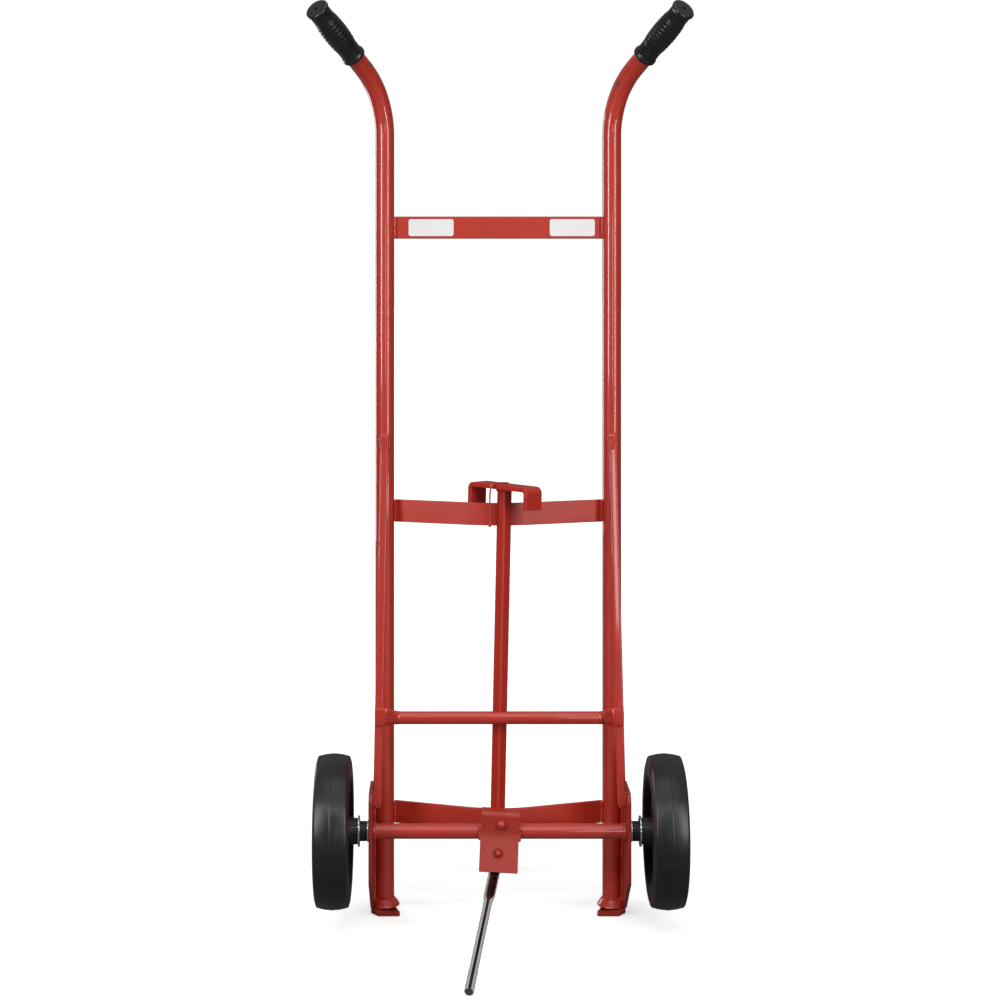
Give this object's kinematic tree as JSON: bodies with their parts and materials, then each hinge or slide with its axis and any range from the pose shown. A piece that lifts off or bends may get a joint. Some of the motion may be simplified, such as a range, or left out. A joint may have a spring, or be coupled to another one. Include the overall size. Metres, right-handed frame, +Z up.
{
  "type": "hand truck",
  "caption": "Two-wheeled drum hand truck with bent tube handles, V-bent crossbars, a raising and swivelling chime hook and a folding kick leg.",
  "frame": {"origin": "centre of the bounding box's base, on the floor the toes and the kick leg stand on", "axes": "+Z up, +Y towards the drum side, +X to the right of a person holding the grips"},
  "size_m": [0.6388, 0.5136, 1.5455],
  "materials": {
    "axle_shaft": "zinc plated",
    "axle_tube": "gloss paint",
    "bar_shoe": "satin",
    "bracket_bolt": "gloss paint",
    "bracket_pin": "gloss paint",
    "centre_bar": "gloss paint",
    "chime_hook": "gloss paint",
    "hanger_wire": "gloss paint",
    "kick_leg": "bright plated",
    "left_axle_cap": "zinc plated",
    "left_axle_spacer": "satin",
    "left_grip": "matte",
    "left_inner_washer": "zinc plated",
    "left_label": "satin",
    "left_outer_washer": "zinc plated",
    "left_plate_washer": "zinc plated",
    "left_rail": "gloss paint",
    "left_side_plate": "gloss paint",
    "left_strut": "gloss paint",
    "left_toe": "gloss paint",
    "left_tyre": "matte",
    "left_wheel": "satin",
    "left_wheel_bush": "zinc plated",
    "leg_eye": "bright plated",
    "leg_staple": "gloss paint",
    "lower_crossbar": "gloss paint",
    "middle_crossbar": "gloss paint",
    "right_axle_cap": "zinc plated",
    "right_axle_spacer": "satin",
    "right_grip": "matte",
    "right_inner_washer": "zinc plated",
    "right_label": "satin",
    "right_outer_washer": "zinc plated",
    "right_plate_washer": "zinc plated",
    "right_rail": "gloss paint",
    "right_side_plate": "gloss paint",
    "right_strut": "gloss paint",
    "right_toe": "gloss paint",
    "right_tyre": "matte",
    "right_wheel": "satin",
    "right_wheel_bush": "zinc plated",
    "stand_bracket": "gloss paint",
    "tie_rod": "gloss paint",
    "upper_crossbar": "gloss paint"
  },
  "bodies": {
    "frame": {"axle_shaft": "axle_shaft", "axle_tube": "axle_tube", "bracket_bolt": "bracket_bolt", "bracket_pin": "bracket_pin", "left_axle_cap": "left_axle_cap", "left_axle_spacer": "left_axle_spacer", "left_grip": "left_grip", "left_inner_washer": "left_inner_washer", "left_label": "left_label", "left_outer_washer": "left_outer_washer", "left_plate_washer": "left_plate_washer", "left_rail": "left_rail", "left_side_plate": "left_side_plate", "left_strut": "left_strut", "left_toe": "left_toe", "leg_staple": "leg_staple", "lower_crossbar": "lower_crossbar", "middle_crossbar": "middle_crossbar", "right_axle_cap": "right_axle_cap", "right_axle_spacer": "right_axle_spacer", "right_grip": "right_grip", "right_inner_washer": "right_inner_washer", "right_label": "right_label", "right_outer_washer": "right_outer_washer", "right_plate_washer": "right_plate_washer", "right_rail": "right_rail", "right_side_plate": "right_side_plate", "right_strut": "right_strut", "right_toe": "right_toe", "stand_bracket": "stand_bracket", "tie_rod": "tie_rod", "upper_crossbar": "upper_crossbar"},
    "left_wheel": {"left_tyre": "left_tyre", "left_wheel": "left_wheel", "left_wheel_bush": "left_wheel_bush"},
    "right_wheel": {"right_tyre": "right_tyre", "right_wheel": "right_wheel", "right_wheel_bush": "right_wheel_bush"},
    "hook_slider": {"bar_shoe": "bar_shoe"},
    "hook_bar": {"centre_bar": "centre_bar", "chime_hook": "chime_hook", "hanger_wire": "hanger_wire"},
    "kick_leg": {"kick_leg": "kick_leg", "leg_eye": "leg_eye"}
  },
  "joints": [
    {"name": "left_wheel_spin", "type": "hinge", "parent": "frame", "child": "left_wheel", "pos_m": [-0.277, 0.0718, 0.164], "axis": [1, 0, 0], "continuous": true},
    {"name": "right_wheel_spin", "type": "hinge", "parent": "frame", "child": "right_wheel", "pos_m": [0.277, 0.0718, 0.164], "axis": [1, 0, 0], "continuous": true},
    {"name": "hook_raise", "type": "slide", "parent": "frame", "child": "hook_slider", "axis": [0.0215, 0, 0.9998], "range_m": [0, 0.15]},
    {"name": "hook_swivel", "type": "hinge", "parent": "hook_slider", "child": "hook_bar", "pos_m": [0.0018, 0.0908, 0.4], "axis": [0.0215, 0, 0.9998], "range_deg": [-45, 0]},
    {"name": "leg_fold", "type": "hinge", "parent": "frame", "child": "kick_leg", "pos_m": [-0.006, 0.0618, 0.112], "axis": [1, 0, 0], "range_deg": [0, 100]}
  ]
}
